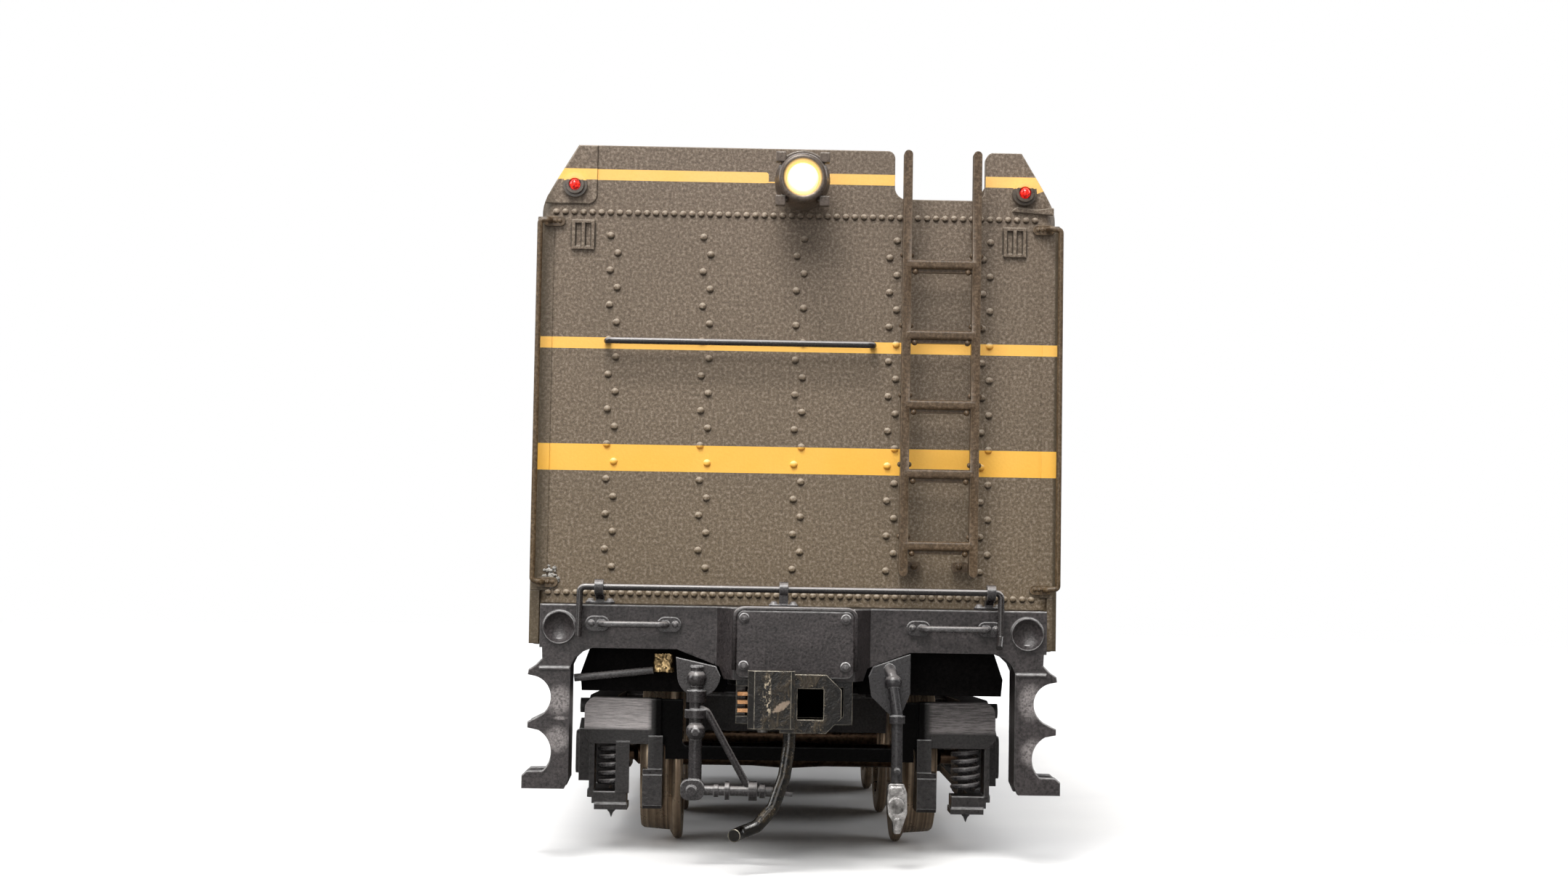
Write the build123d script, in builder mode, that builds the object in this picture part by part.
from build123d import *
import os
from math import cos, radians, sin

# Steam locomotive tender (water and coal wagon), HO scale 1:87.1.
# Frame: origin on the rail-head plane at the middle of the wagon, +Z up,
# +Y forward towards the locomotive, +X to the right seen from behind.
# All lengths in millimetres.

os.makedirs("parts", exist_ok=True)

# ---------------------------------------------------------------- shared dimensions
TANK_L = 150.0                  # tank length over end walls
TANK_END = TANK_L / 2           # end walls at +-TANK_END
TANK_W = 34.0                   # tank width over side walls
Z_SKIRT = 13.1                  # lower edge of side skirts
Z_FOOT = 15.8                   # lower edge of end walls
Z_KINK = 41.9                   # where the sides turn inwards
Z_TOP = 45.9                    # top of the coping
X_TOP = 14.6                    # half width at the top of the coping
Z_DECK = 42.5                   # water deck
Z_BUNK = 37.0                   # bunker floor
WALL = 1.0                      # side walls, end walls and decks

HATCH_Y = -44.0                 # middle of the water hatch
HATCH_HINGE_Y = HATCH_Y + 6.9
HATCH_HINGE_Z = Z_DECK + 1.55

Z_FLOOR0, Z_FLOOR1 = 13.5, 15.7  # floor casting
SCREW_X, SCREW_Y = 12.6, 69.5   # body screws
SCREW_XY = [(x, y) for x in (-SCREW_X, SCREW_X) for y in (-SCREW_Y, SCREW_Y)]

BEAM_Y = 77.0                   # outer face of the end beams
BEAM_BACK_Y = 74.05
BEAM_BOX_Y = 79.0               # face of the rear centre box
BEAM_HALF_W = 16.3
Z_BEAM0, Z_BEAM1 = 11.2, 15.78
REAR_Y = -BEAM_Y

TRUCK_Y = 46.5                  # kingpin distance from the middle
AXLE_GAP = 17.5                 # wheelbase between neighbouring axles
AXLES = (-AXLE_GAP, 0, AXLE_GAP)
WHEEL_R = 5.25                  # tread radius
FLANGE_R = 5.89
BACK_TO_BACK = 14.5
WHEEL_W = 2.8
AXLE_R = 0.8
JOURNAL_R = 0.5
KINGPIN_R = 1.03
KINGPIN_HOLE_R = 1.10
Z_BOLSTER = 10.4                # underside of the body centre plates

COUPLER_PIVOT_Y = -69.5
DRAWBAR_Y = 60.0                # drawbar screw


# ---------------------------------------------------------------- helpers
def at_x(x):
    """A sketch plane facing +X: local x is Y, local y is Z."""
    return Plane.YZ.offset(x)


def at_y(y, x=0, z=0):
    """A sketch plane facing the rear: local x is X, local y is Z."""
    return Plane(origin=(x, y, z), x_dir=(1, 0, 0), z_dir=(0, -1, 0))


def at_z(z):
    """A level sketch plane."""
    return Plane.XY.offset(z)


def save(piece, name):
    piece.part.label = name
    export_step(piece.part, f"parts/{name}.step")


def save_joined(name, *members):
    """Save several ready-made parts as one piece."""
    with BuildPart() as piece:
        for member in members:
            add(member)
    save(piece, name)


def rod(points, dia, bend=0.5):
    """A round bar bent along a row of points."""
    with BuildPart() as bar:
        with BuildLine() as path:
            if len(points) == 2:
                Line(*points)
            else:
                FilletPolyline(*points, radius=bend)
        with BuildSketch(Plane(origin=path.line @ 0, z_dir=path.line % 0)):
            Circle(dia / 2)
        sweep()
    return bar.part


# ---------------------------------------------------------------- tank shell
CORNER_R = 1.2                      # vertical corner radius
COPING_R = 2.4
STRIP_Z0, STRIP_Z1 = 16.6, 41.1     # lower and upper end of the corner strips
Y_BULK = -8.0                       # bulkhead between water deck and bunker
BULK_REAR_Y, BULK_FRONT_Y = Y_BULK - 1.0, Y_BULK + 0.4
RECESS_W = 32.7                     # frame recess between the skirts
WELL_END = TANK_END - 0.9           # inside of the rear coping
BUNKER_END = TANK_END - 1.2         # inside of the front wall
POST_R, POST_BORE_R, POST_BORE_H = 2.0, 0.8, 9
HATCH_OPENING, COAMING_W, COAMING_H = 10, 12, 1.2

NOTCH_X0, NOTCH_X1, NOTCH_Z = 6.25, 12.25, 42.7    # ladder notch in the rear wall
# flare at the notch's upper corners: distance outwards, height from Z_TOP
NOTCH_FLARE = ((0.5, 0.01), (0.15, -0.14), (0, -0.49))
NOTCH_CUT_Z = Z_TOP + 2

LUG_R, LUG_BORE_R, LUG_W = 0.48, 0.29, 0.7
HATCH_LUGS = ((-4.9, 0.8), (-0.6, 1.2), (4.1, 0.8))    # left side x, length in x

# x, z
WELL_SECTION = ((-15.7, Z_DECK), (15.7, Z_DECK), (13.2, Z_TOP + 0.7), (-13.2, Z_TOP + 0.7))
BUNKER_SECTION = ((-16.0, Z_BUNK), (16.0, Z_BUNK), (16.0, 41.8), (13.7, Z_TOP + 0.5),
                  (-13.7, Z_TOP + 0.5), (-16.0, 41.8))
LEFT_PANEL = ((-13.35, 42.0), (-16.75, 42.0), (-16.60, 42.45), (-14.55, 45.85), (-13.35, 45.85))
RIGHT_LIP = ((13.9, 42.0), (16.75, 41.8), (16.75, 42.3), (15.6, 42.15), (14.3, 42.3))

with BuildPart() as tank_shell:
    # constant cross section with the coping leaning in
    with BuildSketch(Plane.XZ) as section:
        with BuildLine():
            Polyline((-TANK_W / 2, Z_SKIRT), (TANK_W / 2, Z_SKIRT), (TANK_W / 2, Z_KINK),
                     (X_TOP, Z_TOP), (-X_TOP, Z_TOP), (-TANK_W / 2, Z_KINK), close=True)
        make_face()
        kinks = section.vertices().sort_by(Axis.Y)[2:4]
        fillet(kinks, COPING_R)
    extrude(amount=TANK_END, both=True)
    # round the four corners in plan
    with BuildSketch(Plane.XY):
        RectangleRounded(TANK_W, TANK_L, CORNER_R)
    extrude(amount=60, mode=Mode.INTERSECT)
    # corner strips standing proud of the side walls at the rear
    with BuildSketch(at_z(STRIP_Z0)) as strips:
        for side in (-1, 1):
            with Locations((side * (TANK_W / 2 - 0.35), -TANK_END + 0.4)):
                Rectangle(1.1, 0.8)
        across = strips.vertices().sort_by(Axis.X)
        fillet(across[0:2] + across[-2:], 0.18)
    extrude(amount=STRIP_Z1 - STRIP_Z0)
    # hollow under the water deck and under the bunker
    for y0, y1, z_roof in ((-TANK_END + WALL, Y_BULK, Z_DECK - WALL),
                           (Y_BULK, TANK_END - WALL, Z_BUNK - WALL)):
        with BuildSketch(at_z(Z_FOOT)):
            with Locations((0, (y0 + y1) / 2)):
                Rectangle(TANK_W - 2 * WALL, y1 - y0)
        extrude(amount=z_roof - Z_FOOT, mode=Mode.SUBTRACT)
    # open frame recess between the skirts, through both ends
    with BuildSketch(at_z(Z_SKIRT - 1)):
        Rectangle(RECESS_W, TANK_L + 4)
    extrude(amount=Z_FOOT - Z_SKIRT + 1, mode=Mode.SUBTRACT)
    # well above the water deck, inside the coping
    with BuildSketch(at_y(BULK_REAR_Y)):
        with BuildLine():
            Polyline(*WELL_SECTION, close=True)
        make_face()
    extrude(amount=WELL_END + BULK_REAR_Y, mode=Mode.SUBTRACT)
    # coal bunker
    with BuildSketch(at_y(BUNKER_END)):
        with BuildLine():
            Polyline(*BUNKER_SECTION, close=True)
        make_face()
    extrude(amount=BUNKER_END - BULK_FRONT_Y, mode=Mode.SUBTRACT)
    # ladder notch in the rear wall
    flare_left = [(NOTCH_X0 - out, Z_TOP + rise) for out, rise in NOTCH_FLARE]
    flare_right = [(NOTCH_X1 + out, Z_TOP + rise) for out, rise in reversed(NOTCH_FLARE)]
    cut_left = (flare_left[0][0], NOTCH_CUT_Z)
    cut_right = (flare_right[-1][0], NOTCH_CUT_Z)
    with BuildSketch(at_y(-TANK_END + 1.5)) as notch:
        with BuildLine():
            Polyline(cut_left, flare_left[0])
            ThreePointArc(*flare_left)
            Polyline(flare_left[-1], (NOTCH_X0, NOTCH_Z), (NOTCH_X1, NOTCH_Z), flare_right[0])
            ThreePointArc(*flare_right)
            Polyline(flare_right[-1], cut_right, cut_left)
        make_face()
        fillet(notch.vertices().sort_by(Axis.Y)[0:2], 0.8)
    extrude(amount=3, mode=Mode.SUBTRACT)
    # opening under the water hatch
    with BuildSketch(at_z(Z_DECK - 2)):
        with Locations((0, HATCH_Y)):
            Rectangle(HATCH_OPENING, HATCH_OPENING)
    extrude(amount=4, mode=Mode.SUBTRACT)
    # coaming round the water hatch
    with BuildSketch(at_z(Z_DECK)):
        with Locations((0, HATCH_Y)):
            Rectangle(COAMING_W, COAMING_W)
            Rectangle(HATCH_OPENING, HATCH_OPENING, mode=Mode.SUBTRACT)
    extrude(amount=COAMING_H)
    # three lugs that hold the hatch's hinge pin
    for x0, length in HATCH_LUGS:
        with BuildSketch(at_x(x0)):
            with Locations((HATCH_HINGE_Y, HATCH_HINGE_Z)):
                Circle(LUG_R)
            with Locations((HATCH_HINGE_Y, (HATCH_HINGE_Z + Z_DECK - 0.2) / 2)):
                Rectangle(LUG_W, HATCH_HINGE_Z - Z_DECK + 0.2)
            with Locations((HATCH_HINGE_Y, HATCH_HINGE_Z)):
                Circle(LUG_BORE_R, mode=Mode.SUBTRACT)
        extrude(amount=length)
    # screw posts
    with BuildSketch(at_z(Z_FOOT)):
        with Locations(*SCREW_XY):
            Circle(POST_R)
    extrude(amount=Z_BUNK - WALL - Z_FOOT)
    with BuildSketch(at_z(Z_FOOT)):
        with Locations(*SCREW_XY):
            Circle(POST_BORE_R)
    extrude(amount=POST_BORE_H, mode=Mode.SUBTRACT)
    # rear posts reach the higher water deck
    with BuildSketch(at_z(Z_BUNK - WALL)):
        with Locations(*[(x, y) for x, y in SCREW_XY if y < 0]):
            Circle(POST_R)
    extrude(amount=Z_DECK - Z_BUNK)
    # raised corner panel behind the left marker lamp
    with BuildSketch(at_y(-TANK_END)) as panel:
        with BuildLine():
            Polyline(*LEFT_PANEL, close=True)
        make_face()
        fillet(panel.vertices().sort_by(Axis.Y)[0:2].filter_by(lambda v: abs(v.X) < 14), 0.6)
    extrude(amount=0.14)
    # lip below the right marker lamp
    with BuildSketch(at_y(-TANK_END)) as lip:
        with BuildLine():
            Polyline(*RIGHT_LIP, close=True)
        make_face()
        fillet(lip.vertices(), 0.08)
    extrude(amount=0.2)
    # framed vents with a centre bar, high on the rear wall
    for side in (-1, 1):
        with BuildSketch(at_y(-TANK_END)):
            with Locations((side * 14.2, 39.95)):
                Rectangle(1.5, 1.95)
                with Locations((-0.32, 0), (0.32, 0)):
                    Rectangle(0.36, 1.5, mode=Mode.SUBTRACT)
        extrude(amount=0.22)
save(tank_shell, "tank_shell")

# ---------------------------------------------------------------- coal load
COAL_FRONT_Y, COAL_L = 73.3, 80.5
# x, z
COAL_SECTION = ((-13.3, 37.05), (13.3, 37.05), (13.3, 44.8), (9.5, 47.0), (4.0, 48.6),
                (-3.0, 48.9), (-9.0, 47.2), (-13.3, 44.6))
# y, z of the wedges cut off over each end
COAL_REAR_CUT = ((-7.5, 44.5), (6.0, 49.3), (6.0, 52), (-9, 52), (-9, 44.5))
COAL_FRONT_CUT = ((73.6, 43.5), (58.0, 49.3), (58.0, 52), (75, 52), (75, 43.5))

with BuildPart() as coal_load:
    with BuildSketch(at_y(COAL_FRONT_Y)):
        with BuildLine():
            Polyline(*COAL_SECTION, close=True)
        make_face()
    extrude(amount=COAL_L)
    # the heap slopes down at both ends
    with BuildSketch(at_x(-20)):
        for wedge in (COAL_REAR_CUT, COAL_FRONT_CUT):
            with BuildLine():
                Polyline(*wedge, close=True)
            make_face()
    extrude(amount=40, mode=Mode.SUBTRACT)
save(coal_load, "coal_load")

# ---------------------------------------------------------------- water hatch
LID_W, LID_Z, LID_H = 12.6, Z_DECK + 1.25, 0.6
PIN_HALF_L, PIN_R = 5.0, 0.24
ARM_W, ARM_R = 1.2, 0.42
HANDLE_Y, HANDLE_W, HANDLE_T = HATCH_Y - 4.6, 4.0, 0.4
HANDLE_GAP, HANDLE_LEG_H, HANDLE_BAR_H = 3.0, 0.8, 0.35

with BuildPart() as water_hatch_lid:
    with BuildSketch(at_z(LID_Z)):
        with Locations((0, HATCH_Y)):
            RectangleRounded(LID_W, LID_W, 0.8)
    extrude(amount=LID_H)
    fillet(water_hatch_lid.faces().sort_by(Axis.Z)[-1].edges(), 0.25)
    # hinge pin along the front edge, moulded to the lid by two arms
    with BuildSketch(at_x(-PIN_HALF_L)):
        with Locations((HATCH_HINGE_Y, HATCH_HINGE_Z)):
            Circle(PIN_R)
    extrude(amount=2 * PIN_HALF_L)
    for x0 in (-3.6, 2.4):
        with BuildSketch(at_x(x0)):
            with Locations((HATCH_HINGE_Y, HATCH_HINGE_Z)):
                Circle(ARM_R)
            with Locations((HATCH_HINGE_Y - 0.45, HATCH_HINGE_Z)):
                Rectangle(0.9, 0.6)
        extrude(amount=ARM_W)
    # grab handle near the rear edge: two legs and a bar
    with BuildSketch(at_z(LID_Z + LID_H)):
        with Locations((0, HANDLE_Y)):
            Rectangle(HANDLE_W, HANDLE_T)
            Rectangle(HANDLE_GAP, HANDLE_T, mode=Mode.SUBTRACT)
    extrude(amount=HANDLE_LEG_H)
    with BuildSketch(at_z(LID_Z + LID_H + HANDLE_LEG_H)):
        with Locations((0, HANDLE_Y)):
            Rectangle(HANDLE_W, HANDLE_T)
    extrude(amount=HANDLE_BAR_H)
save(water_hatch_lid, "water_hatch_lid")

# ---------------------------------------------------------------- underframe
FLOOR_HALF_W, FLOOR_L = 16.2, 147.8
Z_SILL = 11.25                  # underside of centre sill and bolsters
SILL_W, SILL_L = 6.4, 147.0
BOLSTER_HALF_T = 2.6
CENTRE_PLATE_R = 3.4
END_SILL_Y, END_SILL_T = 73.9, 0.9
SIDE_SILL_X, SIDE_SILL_W, SIDE_SILL_L, SIDE_SILL_Z = 12.2, 1.2, 60, 12.3
DRAWBAR_THREAD_R, DRAFT_THREAD_R = 0.92, 0.62
BODY_HOLE_R, BODY_COUNTERBORE_R = 0.9, 1.75
# x, z
BOLSTER_SECTION = ((-13.9, Z_FLOOR0), (-13.9, 12.5), (-4.5, Z_SILL), (4.5, Z_SILL),
                   (13.9, 12.5), (13.9, Z_FLOOR0))
END_SILL = ((4.1, 13.6), (4.1, 11.4), (4.4, 10.1), (13.75, 10.1), (13.85, 11.2), (13.4, 12.5),
            (13.0, 13.6))

with BuildPart() as underframe:
    with BuildSketch(at_z(Z_FLOOR0)):
        Rectangle(2 * FLOOR_HALF_W, FLOOR_L)
    extrude(amount=Z_FLOOR1 - Z_FLOOR0)
    # centre sill
    with BuildSketch(at_z(Z_SILL)):
        Rectangle(SILL_W, SILL_L)
    extrude(amount=Z_FLOOR0 - Z_SILL)
    # body bolsters and centre plates over the trucks
    for end_dir in (-1, 1):
        with BuildSketch(at_y(end_dir * TRUCK_Y + BOLSTER_HALF_T)):
            with BuildLine():
                Polyline(*BOLSTER_SECTION, close=True)
            make_face()
        extrude(amount=2 * BOLSTER_HALF_T)
        with BuildSketch(at_z(Z_BOLSTER)):
            with Locations((0, end_dir * TRUCK_Y)):
                Circle(CENTRE_PLATE_R)
        extrude(amount=Z_FLOOR0 - Z_BOLSTER)
        # kingpin thread
        with BuildSketch(at_z(Z_BOLSTER - 1)):
            with Locations((0, end_dir * TRUCK_Y)):
                Circle(KINGPIN_R + 0.02)
        extrude(amount=7, mode=Mode.SUBTRACT)
    # end sills close behind the beams
    for end_dir in (-1, 1):
        with BuildSketch(at_y(end_dir * END_SILL_Y)):
            with BuildLine():
                Polyline(*END_SILL, close=True)
            make_face()
            mirror(about=Plane.YZ)
        extrude(amount=end_dir * END_SILL_T)
    # side sills
    for side in (-1, 1):
        with BuildSketch(at_z(SIDE_SILL_Z)):
            with Locations((side * SIDE_SILL_X, 0)):
                Rectangle(SIDE_SILL_W, SIDE_SILL_L)
        extrude(amount=Z_FLOOR0 - SIDE_SILL_Z)
    # threads for the drawbar screw and the draft gear screw
    for y, radius, depth in ((DRAWBAR_Y, DRAWBAR_THREAD_R, 8),
                             (COUPLER_PIVOT_Y, DRAFT_THREAD_R, 4.5)):
        with BuildSketch(at_z(10)):
            with Locations((0, y)):
                Circle(radius)
        extrude(amount=depth, mode=Mode.SUBTRACT)
    # counterbored body screw holes
    for radius, depth in ((BODY_HOLE_R, 6), (BODY_COUNTERBORE_R, 2.1)):
        with BuildSketch(at_z(Z_FLOOR0 - 1)):
            with Locations(*SCREW_XY):
                Circle(radius)
        extrude(amount=depth, mode=Mode.SUBTRACT)
    # sound holes under the speaker
    with BuildSketch(at_z(Z_FLOOR0 - 1)):
        with Locations((7.2, 0), (-7.2, 0)):
            with GridLocations(2.4, 2.8, 3, 7):
                Circle(0.6)
    extrude(amount=6, mode=Mode.SUBTRACT)
save(underframe, "underframe")

# ---------------------------------------------------------------- end frames
POCKET_X, POCKET_Z = 15.04, 14.3        # poling pockets
POCKET_RING_R, POCKET_RING_H, POCKET_DISH_R = 1.05, 0.28, 1.2
STEP_INNER_X = 14.3
STEP_Y, STEP_DEPTH = 75.5, 2.8          # middle and depth of the treads
TREAD_T = 0.35
TREADS = ((11.7, 16.4), (8.2, 16.2), (4.9, 16.6))      # top z, outer x
BEAM_UNDERCUT = ((4.45, 10.5), (4.45, 11.2), (4.75, 11.95), (7.5, 13.0), (17, 13.0),
                 (17, 10.5))            # x, z


def step_profile():
    """Outlines of the left and right corner step plates in x and z."""
    with BuildSketch(Plane.XZ) as plate:
        with BuildLine():
            Polyline((12.9, 13.0), (13.6, 12.72), (14.05, 12.3), (14.28, 11.8), (14.28, 4.6),
                     (14.55, 4.0), (17.25, 4.0), (17.25, 4.85), (16.95, 5.12), (15.95, 5.14))
            ThreePointArc((15.95, 5.14), (15.42, 6.42), (16.25, 7.72))
            Polyline((16.25, 7.72), (16.95, 7.86), (16.95, 8.25), (16.3, 8.58))
            ThreePointArc((16.3, 8.58), (15.50, 9.75), (16.5, 11.15))
            Polyline((16.5, 11.15), (17.0, 11.25), (16.95, 11.6), (16.55, 11.85), (16.1, 12.3),
                     (16.15, 13.6), (12.9, 13.6), (12.9, 13.0))
        make_face()
        mirror(about=Plane.YZ)
    return plate.sketch


def end_frame(end_dir):
    """End beam with poling pockets and two corner steps. end_dir -1 is the rear."""
    outline = step_profile()
    y_face = end_dir * BEAM_Y
    y_back = end_dir * BEAM_BACK_Y
    y_box = end_dir * BEAM_BOX_Y
    centre_box = []
    if end_dir < 0:
        centre_box = [(-4.95, y_face), (-3.85, y_box), (3.85, y_box), (4.95, y_face)]
    with BuildPart() as beam:
        # beam in plan, at the rear with its centre box
        with BuildSketch(at_z(Z_BEAM0)):
            with BuildLine():
                Polyline((-BEAM_HALF_W, y_back), (-BEAM_HALF_W, y_face), *centre_box,
                         (BEAM_HALF_W, y_face), (BEAM_HALF_W, y_back), close=True)
            make_face()
        extrude(amount=Z_BEAM1 - Z_BEAM0)
        # lower edge of the beam
        with BuildSketch(at_y(81)):
            with BuildLine():
                Polyline(*BEAM_UNDERCUT, close=True)
            make_face()
            mirror(about=Plane.YZ)
        extrude(amount=162, mode=Mode.SUBTRACT)
        # hollow back
        with BuildSketch(at_z(10.5)):
            with Locations((0, end_dir * 74.95)):
                Rectangle(25.0, 1.9)
            if end_dir < 0:
                with Locations((0, end_dir * 76.0)):
                    Rectangle(6.0, 4.0)
        extrude(amount=4.2, mode=Mode.SUBTRACT)
        # poling pockets: ring and dish
        for side in (-1, 1):
            with BuildSketch(Plane(origin=(side * POCKET_X, y_face, POCKET_Z),
                                   z_dir=(0, end_dir, 0))):
                Circle(POCKET_RING_R)
            extrude(amount=POCKET_RING_H)
        y_dish = y_face + end_dir * 0.95
        with Locations((-POCKET_X, y_dish, POCKET_Z), (POCKET_X, y_dish, POCKET_Z)):
            Sphere(POCKET_DISH_R, mode=Mode.SUBTRACT)
        # corner steps: outer and inner scalloped plates
        with BuildSketch(at_y(y_face)):
            add(outline)
        extrude(amount=end_dir * 0.7)
        with BuildSketch(at_y(y_back)):
            add(outline)
        extrude(amount=-end_dir * 0.6)
        # raised edge of the top tread, across each end plate
        for side in (-1, 1):
            with BuildSketch(Plane(origin=(side * 15.3, y_face, 11.66), x_dir=(1, 0, 0),
                                   z_dir=(0, end_dir, 0))):
                Rectangle(1.95, 0.17)
            extrude(amount=0.13)
        for side in (-1, 1):
            for z_top, x_outer in TREADS:
                with BuildSketch(at_z(z_top - TREAD_T)):
                    with Locations((side * (STEP_INNER_X + x_outer) / 2, end_dir * STEP_Y)):
                        Rectangle(x_outer - STEP_INNER_X, STEP_DEPTH)
                extrude(amount=TREAD_T)
            # inner web that ties the two plates together
            with BuildSketch(at_z(4.6)):
                with Locations((side * 14.53, end_dir * STEP_Y)):
                    Rectangle(0.5, STEP_DEPTH)
            extrude(amount=8.6)
    return beam


save(end_frame(-1), "rear_end_frame")

front_beam = end_frame(1)
with BuildPart() as front_end_frame:
    add(front_beam.part)
    # chafing plate opening for the drawbar
    with BuildSketch(at_z(10.0)):
        with Locations((0, 76)):
            Rectangle(11.0, 6.0)
    extrude(amount=3.2, mode=Mode.SUBTRACT)
save(front_end_frame, "front_end_frame")

# ---------------------------------------------------------------- cover plate
COVER_Y = -79.03
BOLT_Y = -79.37
BOLT_XZ = [(x, z) for x in (-3.2, 3.24) for z in (12.13, 15.14)]

with BuildPart() as end_cover_plate:
    with BuildSketch(at_y(COVER_Y, x=0.05, z=13.52)):
        RectangleRounded(7.5, 4.3, 0.5)
    extrude(amount=0.32)
    fillet(end_cover_plate.faces().sort_by(Axis.Y)[0].edges(), 0.12)
save(end_cover_plate, "end_cover_plate")

with BuildPart() as end_cover_bolts:
    for x, z in BOLT_XZ:
        with BuildSketch(at_y(BOLT_Y, x=x, z=z)):
            Circle(0.33)
        extrude(amount=0.10)
    with Locations(*[(x, BOLT_Y - 0.03, z) for x, z in BOLT_XZ]):
        Sphere(0.27)
    split(bisect_by=at_y(BOLT_Y), keep=Keep.TOP)
save(end_cover_bolts, "end_cover_bolts")

# ---------------------------------------------------------------- cut lever
LEVER_Y, LEVER_Z, LEVER_DIA = -77.7, 16.93, 0.42
BRACKET_X = (-12.5, -0.7, 12.6)
BRACKET_FOOT_Y = -76.3          # feet of the two outer brackets
BRACKET_FOOT_Z = 15.83
BRACKET_T = 0.56

save_joined("cut_lever", rod([
    (-13.75, LEVER_Y - 0.35, 13.75), (-13.72, LEVER_Y, LEVER_Z), (13.25, LEVER_Y, LEVER_Z),
    (13.2, LEVER_Y - 0.3, 14.1), (13.05, LEVER_Y - 0.95, 13.45)], LEVER_DIA, 0.35))

with BuildPart() as cut_lever_brackets:
    for x in BRACKET_X:
        foot_y = BRACKET_FOOT_Y if abs(x) > 5 else LEVER_Y
        # eye and leg
        with BuildSketch(at_x(x - BRACKET_T / 2)):
            with Locations((LEVER_Y, LEVER_Z)):
                Circle(0.5)
            with BuildLine():
                Polyline((foot_y - 0.3, BRACKET_FOOT_Z), (foot_y + 0.3, BRACKET_FOOT_Z),
                         (foot_y + 0.3, 16.2), (LEVER_Y + 0.42, LEVER_Z + 0.1),
                         (LEVER_Y - 0.3, LEVER_Z - 0.1), (foot_y - 0.3, 16.1), close=True)
            make_face()
        extrude(amount=BRACKET_T)
        # foot with two bolt heads
        with BuildSketch(at_z(BRACKET_FOOT_Z)):
            with Locations((x, foot_y)):
                SlotOverall(1.9, 0.62)
        extrude(amount=0.16)
        with Locations((x - 0.62, foot_y, 15.95), (x + 0.62, foot_y, 15.95)):
            Sphere(0.26)
        # bore for the lever
        with BuildSketch(at_x(x - 1)):
            with Locations((LEVER_Y, LEVER_Z)):
                Circle(0.235)
        extrude(amount=2, mode=Mode.SUBTRACT)
    split(bisect_by=at_z(15.82), keep=Keep.TOP)
save(cut_lever_brackets, "cut_lever_brackets")

# ---------------------------------------------------------------- beam grab irons
GRAB_Z, GRAB_DIA = 14.58, 0.42
GRAB_Y = REAR_Y - 1.05

with BuildPart() as beam_grab_irons:
    for side in (-1, 1):
        for foot_x in (8.0, 12.6):
            with BuildSketch(at_y(REAR_Y - 0.03, x=side * foot_x, z=GRAB_Z)):
                SlotOverall(1.55, 0.98)
            extrude(amount=0.26)
            with Locations((side * foot_x - 0.38, REAR_Y - 0.27, GRAB_Z),
                           (side * foot_x + 0.38, REAR_Y - 0.27, GRAB_Z)):
                Sphere(0.2)
        add(rod([(side * 8.15, REAR_Y - 0.1, GRAB_Z), (side * 8.3, GRAB_Y, GRAB_Z),
                 (side * 12.3, GRAB_Y, GRAB_Z), (side * 12.45, REAR_Y - 0.1, GRAB_Z)],
                GRAB_DIA, 0.4))
save(beam_grab_irons, "beam_grab_irons")

# ---------------------------------------------------------------- steam heat connector (left)
STEAM_X, STEAM_Y = -6.15, -78.45        # the upright pipe
UPRIGHT_COLLARS = ((9.75, 0.75, 0.62), (8.75, 0.55, 0.72))     # lower z, height, radius
# left side x, length, radius
LEVEL_COLLARS = ((-4.95, 0.3, 0.42), (-4.25, 0.3, 0.58), (-2.75, 0.55, 0.62),
                 (-2.05, 0.35, 0.45))

steam_pipe = rod([(STEAM_X, STEAM_Y, 12.0), (STEAM_X, STEAM_Y, 4.4)], 0.84)
steam_brace = rod([(STEAM_X + 0.2, STEAM_Y - 0.1, 9.4), (-5.45, STEAM_Y - 0.1, 9.15),
                   (-2.95, STEAM_Y - 0.1, 4.75), (-2.68, STEAM_Y, 4.2)], 0.46, 0.3)
steam_low = rod([(STEAM_X - 0.25, STEAM_Y, 4.22), (-1.2, STEAM_Y, 4.18)], 0.66)
steam_tip = rod([(-1.6, STEAM_Y, 4.18), (0.05, STEAM_Y, 4.02)], 0.3)

with BuildPart() as steam_connector:
    # half-round lug plate under the beam
    with BuildSketch(at_y(-77.55)):
        with BuildLine():
            Polyline((-7.4, 11.4), (-7.5, 12.55), (-4.95, 12.0), (-4.65, 11.4))
            ThreePointArc((-4.65, 11.4), (-6.05, 10.05), (-7.4, 11.4))
        make_face()
    extrude(amount=0.5)
    add(steam_pipe)
    add(steam_brace)
    add(steam_low)
    add(steam_tip)
    # ball and block at the lug
    with Locations((STEAM_X, STEAM_Y, 11.2)):
        Sphere(0.62)
    with BuildSketch(at_z(11.5)):
        with Locations((STEAM_X, STEAM_Y + 0.4)):
            Rectangle(0.8, 1.1)
    extrude(amount=0.5)
    for z0, height, radius in UPRIGHT_COLLARS:
        with BuildSketch(at_z(z0)):
            with Locations((STEAM_X, STEAM_Y)):
                Circle(radius)
        extrude(amount=height)
    # ball joint with a hexagon on its rear
    with Locations((STEAM_X, STEAM_Y - 0.1, 7.9)):
        Sphere(0.62)
    with BuildSketch(at_y(STEAM_Y - 0.5, x=STEAM_X, z=7.9)):
        RegularPolygon(0.26, 6)
    extrude(amount=0.45)
    # elbow with a round boss on its rear
    with BuildSketch(at_y(STEAM_Y + 0.35, x=STEAM_X - 0.15, z=4.25)):
        RectangleRounded(1.5, 1.3, 0.5)
    extrude(amount=0.85)
    with BuildSketch(at_y(STEAM_Y - 0.4, x=STEAM_X - 0.2, z=4.2)):
        Circle(0.33)
    extrude(amount=0.35)
    for x0, length, radius in LEVEL_COLLARS:
        with BuildSketch(at_x(x0)):
            with Locations((STEAM_Y, 4.2)):
                Circle(radius)
        extrude(amount=length)
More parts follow.
